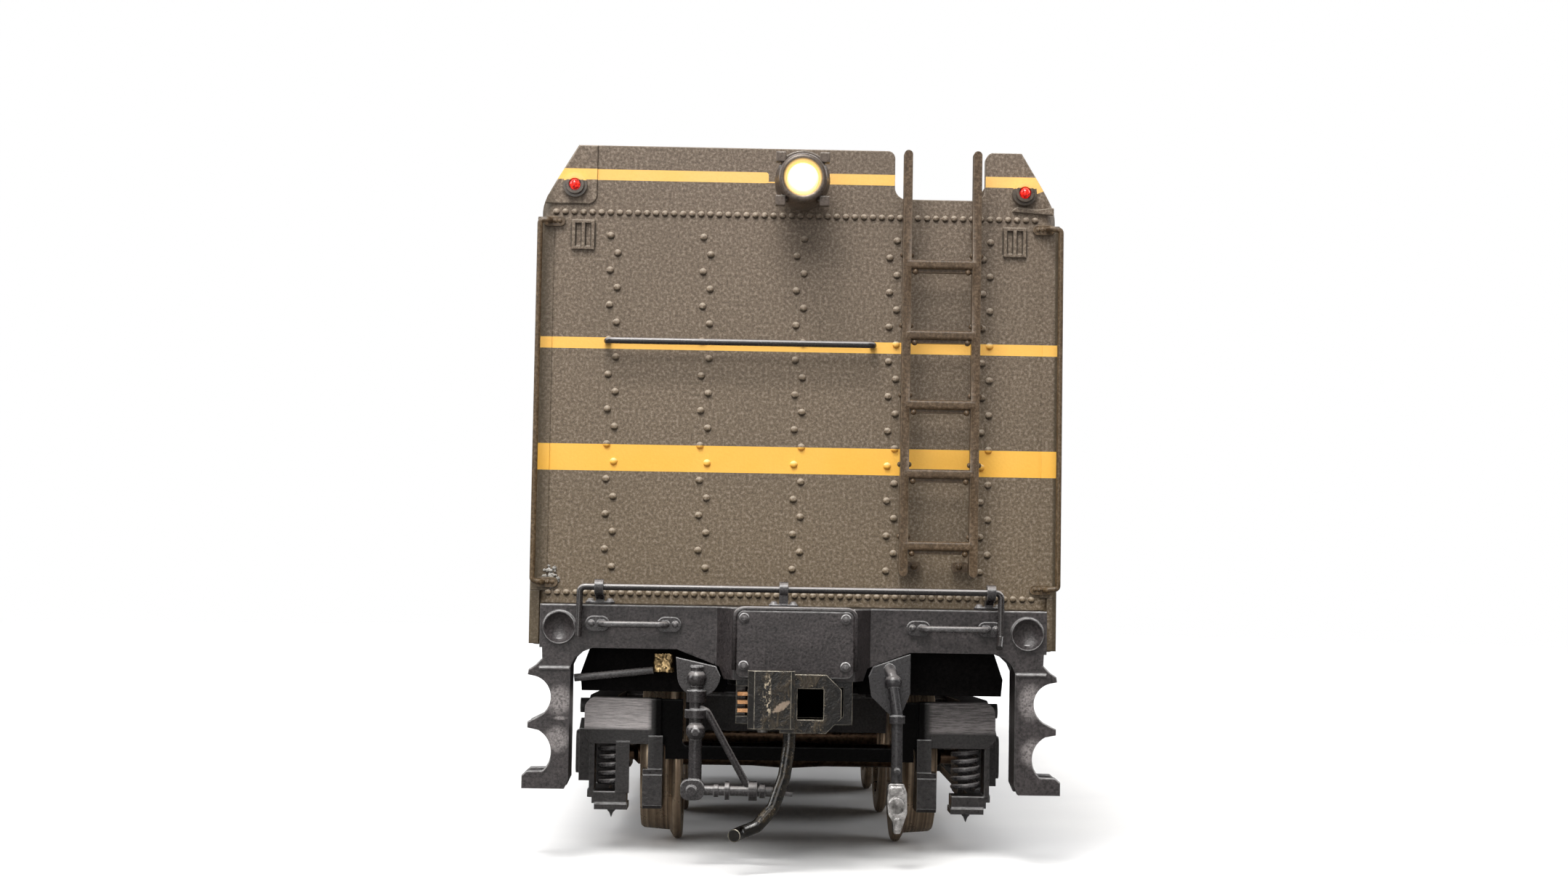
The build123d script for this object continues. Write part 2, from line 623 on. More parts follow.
save(steam_connector, "steam_connector")

# ---------------------------------------------------------------- brake hose (right)
HOSE_X, HOSE_Y = 6.62, -78.75           # lower end of the hose
HOSE_END_FACE_Y = -79.25                # rear face of the coupling head
# x, z
HOSE_LUG = ((4.82, 11.5), (5.1, 12.1), (7.5, 12.95), (7.5, 10.4), (7.05, 9.3), (6.3, 8.95),
            (5.0, 10.2))
HOSE_END = ((6.1, 4.85), (7.05, 4.85), (7.25, 4.3), (7.28, 3.0), (7.05, 2.3), (6.85, 1.72),
            (6.45, 1.7), (6.4, 2.4), (6.1, 2.9), (6.0, 3.7))
# x, z, width, height, corner radius, thickness
HOSE_END_PADS = ((6.6, 4.4, 0.85, 0.5, 0.15, 0.18), (6.7, 2.3, 0.4, 0.75, 0.12, 0.2))

hose = rod([(6.15, -77.3, 12.0), (6.25, -78.35, 11.6), (6.6, HOSE_Y, 9.2), (HOSE_X, HOSE_Y, 4.9)],
           0.72, 0.75)
with BuildPart() as brake_hose:
    with BuildSketch(at_y(-77.25)) as hose_lug:
        with BuildLine():
            Polyline(*HOSE_LUG, close=True)
        make_face()
        fillet(hose_lug.vertices().sort_by(Axis.Y)[0:3], 0.3)
    extrude(amount=0.3)
    add(hose)
    # swelling part way down the hose
    with BuildSketch(at_z(8.6)):
        with Locations((6.6, HOSE_Y)):
            Circle(0.5)
    extrude(amount=0.5)
    with Locations((6.35, -78.35, 11.15)):
        Sphere(0.55)
    with BuildSketch(at_y(HOSE_Y, x=HOSE_X, z=5.6)):
        Circle(0.2)
    extrude(amount=0.6)
save(brake_hose, "brake_hose")

with BuildPart() as brake_hose_end:
    # coupling head hanging from the hose
    with BuildSketch(at_y(HOSE_END_FACE_Y + 0.95)) as hose_head:
        with BuildLine():
            Polyline(*HOSE_END, close=True)
        make_face()
        fillet(hose_head.vertices(), 0.12)
    extrude(amount=0.95)
    # round boss and two pads on its rear face
    with BuildSketch(at_y(HOSE_END_FACE_Y, x=HOSE_X, z=3.5)):
        Circle(0.5)
    extrude(amount=0.3)
    for x, z, width, height, radius, thickness in HOSE_END_PADS:
        with BuildSketch(at_y(HOSE_END_FACE_Y, x=x, z=z)):
            RectangleRounded(width, height, radius)
        extrude(amount=thickness)
save(brake_hose_end, "brake_hose_end")

# ---------------------------------------------------------------- brake rod under the beam
BRAKE_ROD_Y = -75.2

with BuildPart() as brake_rod_block:
    with BuildSketch(at_z(11.45)):
        with Locations((-8.35, BRAKE_ROD_Y)):
            Rectangle(1.3, 1.2)
    extrude(amount=1.2)
    fillet(brake_rod_block.edges().filter_by(Axis.Z), 0.22)
save(brake_rod_block, "brake_rod_block")

save_joined("brake_rod",
            rod([(-9.05, BRAKE_ROD_Y, 11.55), (-14.15, BRAKE_ROD_Y, 10.98)], 0.5))

# ---------------------------------------------------------------- rear ladder
LADDER_X0, LADDER_X1 = 6.98, 11.5       # stile centres
LADDER_Z0, LADDER_Z1 = 17.9, 45.6
RUNGS = (38.15, 33.54, 29.01, 24.53, 19.87)
LADDER_FOOT_Z = 18.55
STAY_Y = -75.35                         # wall end of the feet and stays

with BuildPart() as rear_ladder:
    for x in (LADDER_X0, LADDER_X1):
        with BuildSketch(at_y(-76.44)):
            with Locations((x, (LADDER_Z0 + LADDER_Z1) / 2)):
                SlotOverall(LADDER_Z1 - LADDER_Z0, 0.56, rotation=90)
        extrude(amount=0.72)
    for z in RUNGS:
        # rounded step bar with a lower lip in front of it
        with BuildSketch(at_x(LADDER_X0)):
            with Locations((-76.98, z)):
                SlotOverall(0.62, 0.4, rotation=90)
            with Locations((-76.65, z - 0.38)):
                Rectangle(0.5, 0.3)
        extrude(amount=LADDER_X1 - LADDER_X0)
        # rivets above and below each end
        for x, outward in ((LADDER_X0, -1), (LADDER_X1, 1)):
            with Locations((x + outward * 0.3, -76.85, z + 0.6),
                           (x - outward * 0.3, -76.85, z + 0.6)):
                Sphere(0.17)
        with Locations((LADDER_X1 - 0.55, -77.0, z - 0.5), (LADDER_X0 + 0.55, -77.0, z - 0.5)):
            Sphere(0.19)
    # feet and upper stays that stand the ladder off the wall
    for x, inward in ((LADDER_X0, 1), (LADDER_X1, -1)):
        with BuildSketch(at_y(STAY_Y, x=x + inward * 0.6, z=LADDER_FOOT_Z)):
            RectangleRounded(1.3, 0.7, 0.2)
        extrude(amount=0.3)
        with Locations((x + inward * 0.8, STAY_Y - 0.3, LADDER_FOOT_Z)):
            Sphere(0.22)
        for z in (LADDER_FOOT_Z, 40.3):
            with BuildSketch(at_y(STAY_Y)):
                with Locations((x, z)):
                    Rectangle(0.5, 0.5)
            extrude(amount=1.3)
save(rear_ladder, "rear_ladder")

# ---------------------------------------------------------------- handrails
RAIL_Z0, RAIL_Z1 = 17.15, 40.8          # feet of the corner handrails
RAIL_FOOT_X, RAIL_FOOT_Y = 16.35, -75.15
REAR_GRAB_Z, REAR_GRAB_X0, REAR_GRAB_X1 = 32.92, -12.45, 4.93
FRONT_RAIL_Y, FRONT_RAIL_Z0, FRONT_RAIL_Z1 = 72.4, 17.6, 41.0
FRONT_RAIL_FOOT_X, FRONT_RAIL_X = 17.05, 18.0

with BuildPart() as corner_handrails:
    for side, rail_x in ((-1, -16.95), (1, 17.12)):
        for z in (RAIL_Z1, RAIL_Z0):
            with BuildSketch(at_y(-75.05, x=side * 16.1, z=z)):
                SlotOverall(1.45, 0.66)
            extrude(amount=0.2)
            with Locations((side * 15.72, -75.22, z), (side * 16.02, -75.22, z)):
                Sphere(0.15)
        foot_x = side * RAIL_FOOT_X
        add(rod([(foot_x, RAIL_FOOT_Y, RAIL_Z1), (foot_x, -75.95, RAIL_Z1),
                 (rail_x, -76.0, RAIL_Z1 - 0.1), (rail_x, -76.0, RAIL_Z0 + 0.1),
                 (foot_x, -75.95, RAIL_Z0), (foot_x, RAIL_FOOT_Y, RAIL_Z0)], 0.36, 0.22))
save(corner_handrails, "corner_handrails")

save_joined("rear_grab_iron", rod([
    (REAR_GRAB_X0, -75.05, REAR_GRAB_Z), (REAR_GRAB_X0, -76.1, REAR_GRAB_Z),
    (REAR_GRAB_X1, -76.1, REAR_GRAB_Z), (REAR_GRAB_X1, -75.05, REAR_GRAB_Z)], 0.42, 0.4))

save_joined("front_handrails", *[rod([
    (side * FRONT_RAIL_FOOT_X, FRONT_RAIL_Y, FRONT_RAIL_Z1),
    (side * FRONT_RAIL_X, FRONT_RAIL_Y, FRONT_RAIL_Z1),
    (side * FRONT_RAIL_X, FRONT_RAIL_Y, FRONT_RAIL_Z0),
    (side * FRONT_RAIL_FOOT_X, FRONT_RAIL_Y, FRONT_RAIL_Z0)], 0.46, 0.4) for side in (-1, 1)])

# ---------------------------------------------------------------- backup lamp
LAMP_X, LAMP_Z = 0.08, 43.35
# y, radius; the bezel arc joins the outer and the inner outline
LAMP_OUTSIDE = ((-75.05, 0), (-75.05, 1.45), (-76.2, 1.55), (-76.5, 1.78), (-77.9, 1.78),
                (-78.15, 1.62), (-78.6, 1.50))
LAMP_BEZEL = ((-78.6, 1.50), (-79.05, 1.33), (-78.9, 1.10))
LAMP_INSIDE = ((-78.9, 1.10), (-78.2, 1.05), (-77.6, 0.6), (-77.4, 0), (-75.05, 0))
VISOR_R0, VISOR_R1 = 1.66, 1.86
VISOR_START, VISOR_SWEEP = 40, 100      # degrees


def lamp_outline(table):
    """Points in the lamp's upright middle plane from a (y, radius) table."""
    return [(y, LAMP_Z + radius) for y, radius in table]


def lamp_polar(radius, angle):
    """An (x, z) point round the lamp's axis."""
    return LAMP_X + radius * cos(radians(angle)), LAMP_Z + radius * sin(radians(angle))


with BuildPart() as backup_lamp_housing:
    # turned housing with a rounded bezel
    with BuildSketch(at_x(LAMP_X)):
        with BuildLine():
            Polyline(*lamp_outline(LAMP_OUTSIDE))
            ThreePointArc(*lamp_outline(LAMP_BEZEL))
            Polyline(*lamp_outline(LAMP_INSIDE))
        make_face()
    revolve(axis=Axis(origin=(LAMP_X, 0, LAMP_Z), direction=(0, 1, 0)))
    # four lugs on the diagonals
    for angle in (45, 135, 225, 315):
        x, z = lamp_polar(2.0, angle)
        with BuildSketch(at_y(-77.75, x=x, z=z)):
            Rectangle(0.62, 0.62)
        extrude(amount=0.75)
        x, z = lamp_polar(1.7, angle)
        with BuildSketch(at_y(-77.6, x=x, z=z)):
            Rectangle(0.7, 0.5, rotation=angle)
        extrude(amount=0.5)
    # visor over the top of the housing
    with BuildSketch(at_y(-78.2)):
        with BuildLine():
            CenterArc((LAMP_X, LAMP_Z), VISOR_R1, VISOR_START, VISOR_SWEEP)
            CenterArc((LAMP_X, LAMP_Z), VISOR_R0, VISOR_START, VISOR_SWEEP)
            for angle in (VISOR_START, VISOR_START + VISOR_SWEEP):
                Line(lamp_polar(VISOR_R0, angle), lamp_polar(VISOR_R1, angle))
        make_face()
    extrude(amount=-0.9)
save(backup_lamp_housing, "backup_lamp_housing")

with BuildPart() as backup_lamp_lens:
    with BuildSketch(at_y(-78.3, x=LAMP_X, z=LAMP_Z)):
        Circle(1.02)
    extrude(amount=0.62)
    fillet(backup_lamp_lens.faces().sort_by(Axis.Y)[0].edges(), 0.35)
save(backup_lamp_lens, "backup_lamp_lens")

# ---------------------------------------------------------------- marker lamps
MARKER_X, MARKER_Z = 14.78, 43.18
MARKER_RIM_Y = -75.46                   # where the wide base meets the rim
MARKER_BORE_Y = -75.30
MARKER_LENS_Y, MARKER_LENS_L = -75.33, 0.37

with BuildPart() as marker_lamp_housings:
    # the left lamp stands on the raised panel, the right one on the wall itself
    for x, foot_y in ((-MARKER_X, -75.14), (MARKER_X, -75.0)):
        with BuildSketch(at_y(foot_y, x=x, z=MARKER_Z)):
            Circle(0.80)
        extrude(amount=foot_y - MARKER_RIM_Y)
        with BuildSketch(at_y(MARKER_RIM_Y, x=x, z=MARKER_Z)):
            Circle(0.61)
        extrude(amount=0.28)
        with BuildSketch(at_y(MARKER_BORE_Y, x=x, z=MARKER_Z)):
            Circle(0.40)
        extrude(amount=1.0, mode=Mode.SUBTRACT)
save(marker_lamp_housings, "marker_lamp_housings")

with BuildPart() as marker_lamp_lenses:
    for side in (-1, 1):
        with BuildSketch(at_y(MARKER_LENS_Y, x=side * MARKER_X, z=MARKER_Z)):
            Circle(0.345)
        extrude(amount=MARKER_LENS_L)
    dome_y = MARKER_LENS_Y - MARKER_LENS_L
    with Locations((-MARKER_X, dome_y, MARKER_Z), (MARKER_X, dome_y, MARKER_Z)):
        Sphere(0.33)
save(marker_lamp_lenses, "marker_lamp_lenses")

# ---------------------------------------------------------------- draft gear
DRAFT_X = 0.1                           # middle of the box
DRAFT_Z, DRAFT_SLOT_Z, DRAFT_SLOT_H = 8.3, 8.8, 1.9
DRAFT_HEAD_R = 1.15
LEAF_X, LEAF_W, LEAF_T = -2.72, 0.5, 0.26
LEAF_Z = (9.02, 9.55, 10.08)

with BuildPart() as draft_gear_box:
    with BuildSketch(at_z(DRAFT_Z)):
        with Locations((DRAFT_X, -71.5)):
            Rectangle(7.5, 10.8)
    extrude(amount=2.9)
    # slot for the shank and the centring spring, open to the rear
    with BuildSketch(at_z(DRAFT_SLOT_Z)):
        with Locations((DRAFT_X, -72.6)):
            Rectangle(6.3, 10.0)
    extrude(amount=DRAFT_SLOT_H, mode=Mode.SUBTRACT)
    # left side window that shows the spring leaves
    with BuildSketch(at_x(-5)):
        with Locations((-76.0, 9.75)):
            Rectangle(2.2, 1.9)
    extrude(amount=3, mode=Mode.SUBTRACT)
    # pivot boss
    with BuildSketch(at_z(DRAFT_SLOT_Z)):
        with Locations((0, COUPLER_PIVOT_Y)):
            Circle(0.95)
    extrude(amount=DRAFT_SLOT_H)
    with BuildSketch(at_z(8)):
        with Locations((0, COUPLER_PIVOT_Y)):
            Circle(DRAFT_THREAD_R)
    extrude(amount=4, mode=Mode.SUBTRACT)
save(draft_gear_box, "draft_gear_box")

with BuildPart() as draft_gear_screw:
    with BuildSketch(at_z(8.25)):
        with Locations((0, COUPLER_PIVOT_Y)):
            Circle(0.6)
    extrude(amount=5.5)
    # slotted head
    with BuildSketch(at_z(7.6)):
        with Locations((0, COUPLER_PIVOT_Y)):
            Circle(DRAFT_HEAD_R)
            Rectangle(1.9, 0.3, mode=Mode.SUBTRACT)
    extrude(amount=0.68)
    with BuildSketch(at_z(8.0)):
        with Locations((0, COUPLER_PIVOT_Y)):
            Circle(DRAFT_HEAD_R)
    extrude(amount=0.28)
save(draft_gear_screw, "draft_gear_screw")

with BuildPart() as centering_spring:
    # leaves beside the shank, joined at their front end
    for z in LEAF_Z:
        with BuildSketch(at_z(z)):
            with Locations((LEAF_X, -74.4)):
                Rectangle(LEAF_W, 5.0)
            with Locations((-3.0, -76.0)):
                Rectangle(1.1, 1.8)
        extrude(amount=LEAF_T)
    with BuildSketch(at_z(LEAF_Z[0])):
        with Locations((LEAF_X, -71.6)):
            Rectangle(LEAF_W, 0.6)
    extrude(amount=1.3)
save(centering_spring, "centering_spring")

# ---------------------------------------------------------------- coupler
KNUCKLE_PIN = (-1.95, -81.0)
# x, z
GUARD_ARM = ((-0.9, 8.15), (1.95, 8.15), (2.9, 9.1), (2.9, 10.85), (1.95, 11.78),
             (-0.9, 11.78))
# x, y
KNUCKLE_NOSE = ((-2.9, -82.35), (-2.9, -83.1), (-2.5, -83.5), (-0.25, -83.5), (-0.02, -83.2),
                (-0.02, -82.6), (-0.35, -82.3), (-1.0, -82.2))

with BuildPart() as coupler_head:
    # shank with its pivot eye
    with BuildSketch(at_z(8.95)):
        with Locations((0, COUPLER_PIVOT_Y)):
            Circle(1.65)
        with Locations((0, -74.6)):
            Rectangle(1.9, 10.2)
    extrude(amount=1.6)
    with BuildSketch(at_z(8)):
        with Locations((0, COUPLER_PIVOT_Y)):
            Circle(1.02)
    extrude(amount=4, mode=Mode.SUBTRACT)
    # guard arm block with chamfered right-hand edges
    with BuildSketch(at_y(-79.4)):
        with BuildLine():
            Polyline(*GUARD_ARM, close=True)
        make_face()
    extrude(amount=2.8)
    # neck between shank and block
    with BuildSketch(at_y(-78.6)):
        with Locations((0.4, 9.85)):
            Rectangle(2.6, 2.3)
    extrude(amount=1.0)
    # mouth of the guard arm
    with BuildSketch(at_y(-80.3)):
        with Locations((0.98, 9.95)):
            Rectangle(1.62, 1.9)
    extrude(amount=3, mode=Mode.SUBTRACT)
    # ears for the knuckle pin
    for z0 in (8.3, 11.1):
        with BuildSketch(at_z(z0)):
            with Locations(KNUCKLE_PIN):
                Circle(0.95)
            with Locations((-1.3, -80.5)):
                Rectangle(1.4, 1.9)
        extrude(amount=0.65)
    with BuildSketch(at_z(8)):
        with Locations(KNUCKLE_PIN):
            Circle(0.36)
    extrude(amount=5, mode=Mode.SUBTRACT)
    # relief that clears the cover plate when the coupler swings
    with BuildSketch(at_z(11.3)):
        with Locations((0.3, -79.45)):
            Rectangle(7.0, 1.0)
    extrude(amount=1, mode=Mode.SUBTRACT)
save(coupler_head, "coupler_head")

with BuildPart() as knuckle_pin:
    with BuildSketch(at_z(8.1)):
        with Locations(KNUCKLE_PIN):
            Circle(0.34)
    extrude(amount=3.65)
save(knuckle_pin, "knuckle_pin")

with BuildPart() as knuckle:
    # tail round the pin
    with BuildSketch(at_z(9.02)):
        with Locations(KNUCKLE_PIN):
            Circle(0.85)
        with Locations((-2.15, -81.6)):
            Rectangle(1.3, 1.3)
    extrude(amount=2.0)
    # nose, the tall block that faces the mating coupler
    with BuildSketch(at_z(8.48)):
        with BuildLine():
            Polyline(*KNUCKLE_NOSE, close=True)
        make_face()
    extrude(amount=3.55)
    with BuildSketch(at_z(8)):
        with Locations(KNUCKLE_PIN):
            Circle(0.39)
    extrude(amount=3.1, mode=Mode.SUBTRACT)
save(knuckle, "knuckle")

save_joined("trip_pin", rod([
    (-0.25, -80.9, 8.1), (-0.28, -80.95, 7.2), (-0.55, -81.15, 5.4), (-1.2, -81.4, 3.5),
    (-2.2, -81.6, 2.35), (-3.3, -81.85, 1.95), (-3.6, -82.75, 1.9)], 0.8, 0.8))

# ---------------------------------------------------------------- drawbar
DRAWBAR_LEN = 25.0                      # screw to eye
DRAWBAR_W, DRAWBAR_T = 3.0, 1.1
EYE_Y = DRAWBAR_Y + DRAWBAR_LEN
EYE_R = 1.1                             # eye bore radius

with BuildPart() as drawbar:
    with BuildSketch(at_z(10.0)):
        with Locations((0, DRAWBAR_Y)):
            Circle(2.0)
        with Locations((0, EYE_Y)):
            Circle(2.2)
        with Locations((0, DRAWBAR_Y + DRAWBAR_LEN / 2)):
            Rectangle(DRAWBAR_W, DRAWBAR_LEN)
    extrude(amount=DRAWBAR_T)
    with BuildSketch(at_z(9)):
        with Locations((0, DRAWBAR_Y)):
            Circle(1.2)
        with Locations((0, EYE_Y)):
            Circle(EYE_R)
    extrude(amount=4, mode=Mode.SUBTRACT)
save(drawbar, "drawbar")

with BuildPart() as drawbar_screw:
    # slotted head
    with BuildSketch(at_z(9.1)):
        with Locations((0, DRAWBAR_Y)):
            Circle(1.8)
    extrude(amount=0.8)
    with BuildSketch(at_z(9.0)):
        with Locations((0, DRAWBAR_Y)):
            Rectangle(4.0, 0.4)
    extrude(amount=0.45, mode=Mode.SUBTRACT)
    # shoulder in the drawbar, then the thread
    for z0, radius, height in ((9.9, 1.13, 1.3), (11.2, 0.9, 3.6)):
        with BuildSketch(at_z(z0)):
            with Locations((0, DRAWBAR_Y)):
                Circle(radius)
        extrude(amount=height)
save(drawbar_screw, "drawbar_screw")

# ---------------------------------------------------------------- screws
# head z, radius, height; cross slot z, length, width, depth; shank z, radius, length
BODY_SCREW = ((Z_FLOOR0 + 0.15, 1.6, 0.9), (Z_FLOOR0, 2.4, 0.35, 0.6),
              (Z_FLOOR0 + 1.0, 0.75, 8.0))
TRUCK_SCREW = ((6.85, 1.85, 0.8), (6.8, 2.8, 0.4, 0.5), (7.6, KINGPIN_R, 7.2))


def cross_screws(places, head, slot, shank):
    """Upright screws with cross-slotted heads at the bottom."""
    head_z, head_r, head_h = head
    slot_z, slot_l, slot_w, slot_depth = slot
    shank_z, shank_r, shank_l = shank
    with BuildPart() as screws:
        for place in places:
            with BuildSketch(at_z(head_z)):
                with Locations(place):
                    Circle(head_r)
            extrude(amount=head_h)
            with BuildSketch(at_z(slot_z)):
                with Locations(place):
                    Rectangle(slot_l, slot_w)
                    Rectangle(slot_w, slot_l)
            extrude(amount=slot_depth, mode=Mode.SUBTRACT)
            with BuildSketch(at_z(shank_z)):
                with Locations(place):
                    Circle(shank_r)
            extrude(amount=shank_l)
    return screws


save(cross_screws(SCREW_XY, *BODY_SCREW), "body_screws")
save(cross_screws([(0, -TRUCK_Y), (0, TRUCK_Y)], *TRUCK_SCREW), "truck_screws")

# ---------------------------------------------------------------- inside
SPEAKER_BOX_Z = 15.75
SPEAKER_R = 11.5
# radius, z
SPEAKER_SECTION = ((0, 18.6), (3.0, 18.6), (9.9, 16.2), (SPEAKER_R, 16.4), (SPEAKER_R, 16.8),
                   (10.2, 17.2), (6.2, 19.6), (6.2, 22.8), (0, 22.8))
BOARD_Z, BOARD_T = 24.85, 1.2
# x, y, width, length
BOARD_CHIPS = ((-4, 8, 9, 9), (5, -6, 5, 7), (-5, -12, 4, 5), (4, 22, 8, 3))

with BuildPart() as speaker_box:
    with BuildSketch(at_z(SPEAKER_BOX_Z)):
        RectangleRounded(26, 28, 1.5)
    extrude(amount=9.0)
    with BuildSketch(at_z(SPEAKER_BOX_Z)):
        RectangleRounded(23.6, 25.6, 1.0)
    extrude(amount=7.8, mode=Mode.SUBTRACT)
save(speaker_box, "speaker_box")

with BuildPart() as speaker:
    # frame ring, basket and magnet; the cone faces down through the floor
    with BuildSketch(at_z(15.8)):
        Circle(SPEAKER_R)
        Circle(9.8, mode=Mode.SUBTRACT)
    extrude(amount=1.0)
    with BuildSketch(Plane.XZ):
        with BuildLine():
            Polyline(*SPEAKER_SECTION, close=True)
        make_face()
    revolve(axis=Axis.Z)
save(speaker, "speaker")

with BuildPart() as ballast_weight:
    # a block over each truck, with a hole over the kingpin
    for end_dir in (-1, 1):
        with BuildSketch(at_z(15.85)):
            with Locations((0, end_dir * 40.5)):
                Rectangle(26, 48)
                with Locations((0, end_dir * 6)):
                    Circle(2.2, mode=Mode.SUBTRACT)
        extrude(amount=8.0)
save(ballast_weight, "ballast_weight")

with BuildPart() as decoder_board:
    with BuildSketch(at_z(BOARD_Z)):
        with Locations((0, 5)):
            Rectangle(22, 60)
    extrude(amount=BOARD_T)
    # flat components
    with BuildSketch(at_z(BOARD_Z + BOARD_T)):
        for x, y, width, length in BOARD_CHIPS:
            with Locations((x, y)):
                Rectangle(width, length)
    extrude(amount=1.1)
    # two tall round components at the front
    with BuildSketch(at_z(BOARD_Z + BOARD_T)):
        with Locations((7, 29), (-7, 29)):
            Circle(2.4)
    extrude(amount=5.5)
save(decoder_board, "decoder_board")

with BuildPart() as lamp_board:
    with BuildSketch(at_z(33.0)):
        with Locations((0, -73.2)):
            Rectangle(20, 1.0)
    extrude(amount=8.0)
    for x in (-8.5, 0, 8.5):
        with BuildSketch(at_z(38.6)):
            with Locations((x, -71.9)):
                Rectangle(1.6, 1.6)
        extrude(amount=1.4)
save(lamp_board, "lamp_board")

# ---------------------------------------------------------------- trucks
# Lengths along the wagon in this section are distances from the truck centre.
FRAME_X, FRAME_T = 11.72, 1.9           # inner face and thickness of the side frames
# y, z
SIDE_BAR = ((-24.3, 6.5), (-24.3, 8.6), (-20.5, 9.4), (-7.0, 9.0), (-4.5, 9.9), (4.5, 9.9),
            (7.0, 9.0), (20.5, 9.4), (24.3, 8.6), (24.3, 6.5), (23.5, 6.5), (20.0, 7.3),
            (-20.0, 7.3), (-23.5, 6.5))
# y from the axle, z
PEDESTAL = ((-2.7, 7.5), (-2.3, 3.3), (-1.8, 2.75), (1.8, 2.75), (2.3, 3.3), (2.7, 7.5))
JOURNAL_BOX = ((-1.55, 3.4), (1.55, 3.4), (1.6, 7.0), (0, 7.6), (-1.6, 7.0))
# y start, y end, height
BOTTOM_TIES = ((-15.6, -1.9, 0.6), (1.9, 15.6, 0.6), (-23.9, -19.2, 0.5), (19.2, 23.9, 0.5))
# x, z on the right-hand side
SEAT_BOLT = ((11.6, 2.2), (12.1, 2.2), (12.1, 1.95), (11.98, 1.85), (11.85, 1.5),
             (11.72, 1.85), (11.6, 1.95))
GUSSET = ((8.4, 6.6), (8.4, 6.4), (7.2, 5.5), (6.9, 5.5), (6.9, 6.3), (7.2, 6.6))

SPRING_WIRE = 0.34
# x, y, bottom z, top z, coil radius, turns
SPRINGS = ((11.86, -23.5, 3.36, 6.42, 0.84, 5.0), (12.7, -8.75, 3.42, 7.22, 0.78, 5.5),
           (12.7, 8.75, 3.42, 7.22, 0.78, 5.5), (11.86, 23.5, 3.36, 6.42, 0.84, 5.0))

SHOE_X, SHOE_T = 8.45, 1.0
# distance from the axle, z
BRAKE_HEAD = ((6.4, 2.25), (7.9, 2.25), (8.1, 2.5), (8.1, 4.5), (7.8, 4.82), (6.4, 4.82))
BRAKE_HEAD_HANGER = (*BRAKE_HEAD[:-1], (7.8, 7.05), (7.55, 7.05), (7.55, 4.82), (6.4, 4.82))


def truck_bolster(truck_y):
    """Longitudinal beam, centre plate and two transoms."""
    with BuildPart() as bolster:
        with BuildSketch(at_z(6.95)):
            with Locations((0, truck_y)):
                Rectangle(11.6, 21.4)
        extrude(amount=2.2)
        with BuildSketch(at_z(9.15)):
            with Locations((0, truck_y)):
                Circle(4.4)
        extrude(amount=1.2)
        for offset in (-AXLE_GAP / 2, AXLE_GAP / 2):
            with BuildSketch(at_z(6.3)):
                with Locations((0, truck_y + offset)):
                    Rectangle(23.3, 4.0)
            extrude(amount=2.6)
        # counterbore and kingpin hole
        for radius, depth in ((2.0, 1.7), (KINGPIN_HOLE_R, 6)):
            with BuildSketch(at_z(6.0)):
                with Locations((0, truck_y)):
                    Circle(radius)
            extrude(amount=depth, mode=Mode.SUBTRACT)
    return bolster


